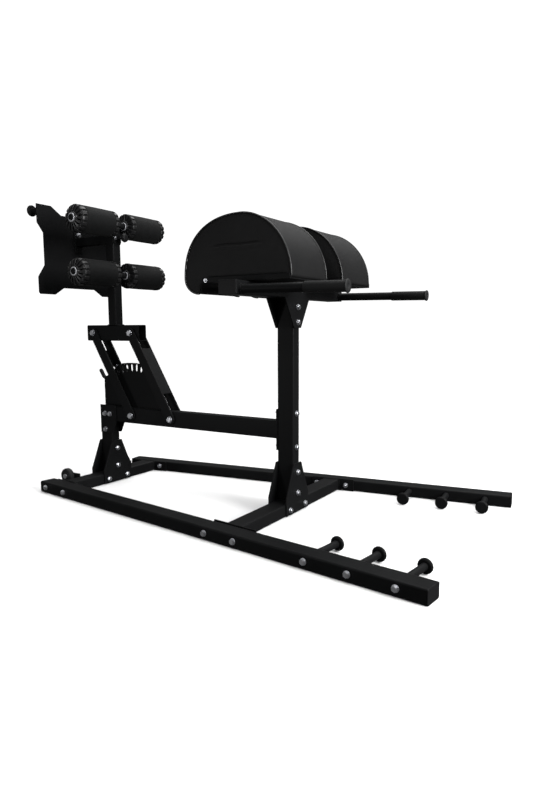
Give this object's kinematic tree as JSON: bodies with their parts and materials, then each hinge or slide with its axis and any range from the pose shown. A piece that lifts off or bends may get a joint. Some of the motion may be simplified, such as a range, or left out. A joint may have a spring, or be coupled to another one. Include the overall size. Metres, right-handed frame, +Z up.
{
  "type": "glute ham developer",
  "caption": "Floor-standing glute ham bench: splayed tube base, half-round hip pads with handles, and a swinging foot section with foam rollers and a sliding foot plate.",
  "frame": {"origin": "floor point under the main upright, on the underside of the front cross member", "axes": "+X towards the handle end, +Y towards the far side, +Z up"},
  "size_m": [2.0384, 1.1558, 1.3227],
  "materials": {
    "frame": "satin black powder coat",
    "zinc": "zinc plated steel",
    "upholstery": "black vinyl over foam",
    "board": "plywood board stained black",
    "plastic": "moulded black plastic",
    "foam": "matte black closed-cell foam",
    "rubber": "black rubber"
  },
  "bodies": {
    "base": {"rail_near": "frame", "rail_far": "frame", "front_cross_member": "frame", "rear_cross_member": "frame", "rear_post": "frame", "upright": "frame", "beam": "frame", "tail_plate_near": "frame", "tail_plate_far": "frame", "upright_gusset_front": "frame", "upright_gusset_rear": "frame", "post_gusset_front": "frame", "post_gusset_rear": "frame", "top_gusset_front": "frame", "top_gusset_rear": "frame", "handle_frame": "frame", "pad_bracket_near": "frame", "pad_bracket_far": "frame", "selector_plate": "frame", "band_peg_near_1": "frame", "band_peg_near_2": "frame", "band_peg_near_3": "frame", "band_peg_far_1": "frame", "band_peg_far_2": "frame", "band_peg_far_3": "frame", "wheel_axle_near": "zinc", "wheel_axle_far": "zinc", "pivot_bolt_lower_rear": "zinc", "pivot_bolt_lower_front": "zinc", "pad_near": "upholstery", "pad_far": "upholstery", "pad_board_near": "board", "pad_board_far": "board", "rail_cap_near_rear": "plastic", "rail_cap_near_front": "plastic", "rail_cap_far_rear": "plastic", "rail_cap_far_front": "plastic", "grip_near": "rubber", "grip_far": "rubber"},
    "rear_link": {"rear_link": "frame"},
    "front_link": {"front_link": "frame"},
    "foot_section": {"foot_frame": "frame", "pivot_bolt_upper_rear": "zinc", "pivot_bolt_upper_front": "zinc"},
    "foot_slide": {"slide_tube": "frame", "foot_plate": "frame", "foot_peg_near": "frame", "foot_peg_far": "frame"},
    "knob": {"clamp_knob": "plastic"},
    "selector": {"selector_pin": "zinc"},
    "wheel_near_body": {"wheel_near": "rubber"},
    "wheel_far_body": {"wheel_far": "rubber"},
    "roller_lower_near": {"roller_foam_lower_near": "foam", "roller_hub_lower_near": "plastic"},
    "roller_lower_far": {"roller_foam_lower_far": "foam", "roller_hub_lower_far": "plastic"},
    "roller_upper_near": {"roller_foam_upper_near": "foam", "roller_hub_upper_near": "plastic"},
    "roller_upper_far": {"roller_foam_upper_far": "foam", "roller_hub_upper_far": "plastic"}
  },
  "joints": [
    {"name": "swing", "type": "hinge", "parent": "base", "child": "rear_link", "pos_m": [-0.845, 0, 0.3395], "axis": [0, 1, 0], "range_deg": [0, 45.78]},
    {"name": "front_link_swing", "type": "hinge", "parent": "base", "child": "front_link", "pos_m": [-0.602, 0, 0.3395], "axis": [0, 1, 0], "range_deg": [0, 45.78]},
    {"name": "foot_section_level", "type": "hinge", "parent": "rear_link", "child": "foot_section", "pos_m": [-1.0773, 0, 0.73073], "axis": [0, 1, 0], "range_deg": [-45.78, 0]},
    {"name": "foot_plate_slide", "type": "slide", "parent": "foot_section", "child": "foot_slide", "axis": [1, 0, 0], "range_m": [0, 0.09]},
    {"name": "knob_turn", "type": "hinge", "parent": "foot_slide", "child": "knob", "pos_m": [-0.8958, 0, 1.16973], "axis": [1, 0, 0], "continuous": true},
    {"name": "selector_pull", "type": "slide", "parent": "rear_link", "child": "selector", "axis": [0, 1, 0], "range_m": [0, 0.018], "stiffness_N_per_m": 400, "springref_m": -0.01},
    {"name": "roller_lower_near_spin", "type": "hinge", "parent": "foot_section", "child": "roller_lower_near", "pos_m": [-0.9188, -0.15, 1.00073], "axis": [0, 1, 0], "continuous": true},
    {"name": "roller_lower_far_spin", "type": "hinge", "parent": "foot_section", "child": "roller_lower_far", "pos_m": [-0.9188, 0.15, 1.00073], "axis": [0, 1, 0], "continuous": true},
    {"name": "roller_upper_near_spin", "type": "hinge", "parent": "foot_section", "child": "roller_upper_near", "pos_m": [-0.9188, -0.15, 1.22873], "axis": [0, 1, 0], "continuous": true},
    {"name": "roller_upper_far_spin", "type": "hinge", "parent": "foot_section", "child": "roller_upper_far", "pos_m": [-0.9188, 0.15, 1.22873], "axis": [0, 1, 0], "continuous": true},
    {"name": "wheel_near_spin", "type": "hinge", "parent": "base", "child": "wheel_near_body", "pos_m": [-1.1225, -0.1885, 0.048], "axis": [0, 1, 0], "continuous": true},
    {"name": "wheel_far_spin", "type": "hinge", "parent": "base", "child": "wheel_far_body", "pos_m": [-1.1225, 0.1885, 0.048], "axis": [0, 1, 0], "continuous": true}
  ],
  "couplings": [
    {"joint": "front_link_swing", "follows": "swing", "ratio": 1},
    {"joint": "foot_section_level", "follows": "swing", "ratio": -1}
  ]
}
